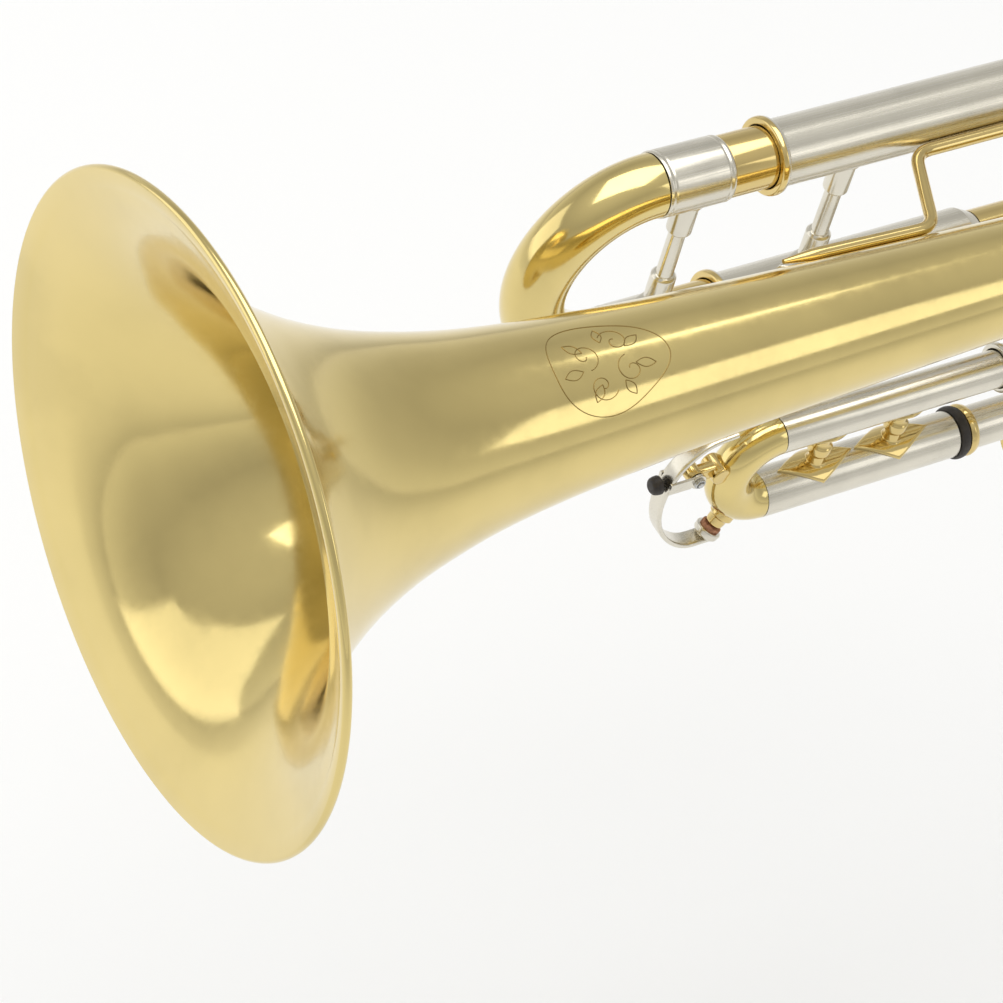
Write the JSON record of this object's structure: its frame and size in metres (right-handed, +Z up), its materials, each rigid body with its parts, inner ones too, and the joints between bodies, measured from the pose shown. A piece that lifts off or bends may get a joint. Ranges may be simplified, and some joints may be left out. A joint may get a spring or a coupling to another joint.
{
  "type": "marching trombone",
  "caption": "Bell-front valve trombone with a flared bell, piston valves, pull-out tuning and valve slides, a sprung water key and a mouthpiece.",
  "frame": {"origin": "the hand grip: on the axis of the middle valve, 50 mm below the bell's axis", "axes": "+X back along the bell's axis, from the bell mouth to the mouthpiece; +Z up along the valves, towards the buttons; +Y across, from the bell to the leadpipe"},
  "size_m": [0.7082, 0.2028, 0.2529],
  "materials": {
    "lacquered_brass": "polished, clear lacquer",
    "nickel_silver": "polished nickel silver with fine drawing lines",
    "silver_plate": "polished silver plate",
    "spring_steel": "bright drawn wire",
    "pearl": "pearl inlay",
    "rubber": "black rubber",
    "cork": "natural cork"
  },
  "bodies": {
    "frame": {"bell": "lacquered_brass", "bell_bow": "lacquered_brass", "bell_bow_ferrule": "nickel_silver", "bell_z_brace": "lacquered_brass", "crossover_tube_front": "nickel_silver", "crossover_tube_rear": "nickel_silver", "first_outer_lower": "nickel_silver", "first_outer_upper": "nickel_silver", "first_valve_bottom_cap": "lacquered_brass", "first_valve_casing": "nickel_silver", "first_valve_spring": "spring_steel", "first_valve_top_cap": "lacquered_brass", "leadpipe": "lacquered_brass", "mouthpiece": "silver_plate", "mouthpiece_receiver": "nickel_silver", "rear_brace": "lacquered_brass", "second_outer_lower": "nickel_silver", "second_outer_upper": "nickel_silver", "second_valve_bottom_cap": "lacquered_brass", "second_valve_casing": "nickel_silver", "second_valve_spring": "spring_steel", "second_valve_top_cap": "lacquered_brass", "third_inner_lower": "nickel_silver", "third_outer_upper": "nickel_silver", "third_slide_bumper": "rubber", "third_slide_stop_ring": "lacquered_brass", "third_valve_bottom_cap": "lacquered_brass", "third_valve_casing": "nickel_silver", "third_valve_spring": "spring_steel", "third_valve_top_cap": "lacquered_brass", "tuning_outer_lower": "nickel_silver", "tuning_outer_stay": "nickel_silver", "tuning_outer_upper": "nickel_silver", "valve_inlet_elbow": "lacquered_brass"},
    "tuning_slide": {"tuning_bow": "lacquered_brass", "tuning_ferrule_upper": "nickel_silver", "tuning_ferrule_lower": "nickel_silver", "tuning_inner_upper": "lacquered_brass", "tuning_inner_lower": "lacquered_brass", "tuning_slide_stay": "nickel_silver"},
    "third_slide": {"third_bow": "lacquered_brass", "third_leg_upper": "nickel_silver", "third_sleeve_lower": "nickel_silver", "third_stay_front": "lacquered_brass", "third_stay_rear": "lacquered_brass", "water_key_nipple": "lacquered_brass", "water_key_saddle": "lacquered_brass", "water_key_pin": "spring_steel"},
    "water_key": {"water_key_lever": "nickel_silver", "water_key_cork": "cork", "water_key_thumb_pad": "rubber"},
    "first_slide": {"first_slide": "lacquered_brass"},
    "second_slide": {"second_slide": "lacquered_brass"},
    "first_valve": {"first_piston": "nickel_silver", "first_valve_button": "pearl"},
    "second_valve": {"second_piston": "nickel_silver", "second_valve_button": "pearl"},
    "third_valve": {"third_piston": "nickel_silver", "third_valve_button": "pearl"}
  },
  "joints": [
    {"name": "tuning_slide_pull", "type": "slide", "parent": "frame", "child": "tuning_slide", "axis": [-1, 0, 0], "range_m": [-0.011, 0.03]},
    {"name": "third_slide_pull", "type": "slide", "parent": "frame", "child": "third_slide", "axis": [-1, 0, 0], "range_m": [0, 0.03]},
    {"name": "first_slide_pull", "type": "slide", "parent": "frame", "child": "first_slide", "axis": [1, 0, 0], "range_m": [0, 0.03]},
    {"name": "second_slide_pull", "type": "slide", "parent": "frame", "child": "second_slide", "axis": [0, 1, 0], "range_m": [0, 0.007]},
    {"name": "water_key_turn", "type": "hinge", "parent": "third_slide", "child": "water_key", "pos_m": [-0.2045, -0.007, -0.041], "axis": [0, 1, 0], "range_deg": [0, 10], "stiffness_Nm_per_rad": 0.3, "springref_deg": -20.05},
    {"name": "first_valve_press", "type": "slide", "parent": "frame", "child": "first_valve", "axis": [0, 0, -1], "range_m": [0, 0.016], "stiffness_N_per_m": 250, "springref_m": -0.016, "deforming": ["first_valve_spring"]},
    {"name": "second_valve_press", "type": "slide", "parent": "frame", "child": "second_valve", "axis": [0, 0, -1], "range_m": [0, 0.016], "stiffness_N_per_m": 250, "springref_m": -0.016, "deforming": ["second_valve_spring"]},
    {"name": "third_valve_press", "type": "slide", "parent": "frame", "child": "third_valve", "axis": [0, 0, -1], "range_m": [0, 0.016], "stiffness_N_per_m": 250, "springref_m": -0.016, "deforming": ["third_valve_spring"]}
  ]
}
